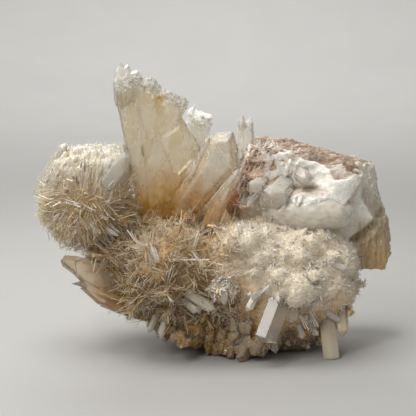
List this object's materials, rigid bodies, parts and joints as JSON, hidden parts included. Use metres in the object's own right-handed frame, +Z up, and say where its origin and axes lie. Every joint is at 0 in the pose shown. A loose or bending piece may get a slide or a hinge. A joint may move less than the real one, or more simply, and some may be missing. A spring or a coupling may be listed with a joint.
{
  "type": "quartz needle cluster",
  "caption": "Cluster of milky and clear quartz: a tall crystal, leaning crystals and a bed of needles grown on a broken block, resting on a small flat spot.",
  "frame": {"origin": "on the surface that the cluster rests on, under the middle of its outline", "axes": "+Z up, -Y towards the side with the best crystals, +X towards the broken block"},
  "size_m": [0.237, 0.1184, 0.181],
  "materials": {
    "massive_quartz": "rough broken, matt",
    "needle_quartz": "sparkling needles over a milky to golden brown base",
    "milky_quartz": "striated faces, milky, stained golden at the foot",
    "clear_quartz": "clear to cloudy, bright faces"
  },
  "bodies": {
    "root": {"matrix_block": "massive_quartz", "needle_bed": "needle_quartz", "left_needle_sheaf": "needle_quartz", "tall_crystal": "milky_quartz", "companion_crystal": "clear_quartz", "leaning_crystal": "milky_quartz", "lower_leaning_crystal": "milky_quartz", "pale_tip_crystals": "clear_quartz", "upper_blade": "clear_quartz", "middle_blade": "clear_quartz", "lower_blade": "clear_quartz", "front_point_crystal": "clear_quartz", "right_foot_crystal": "clear_quartz"}
  },
  "joints": []
}
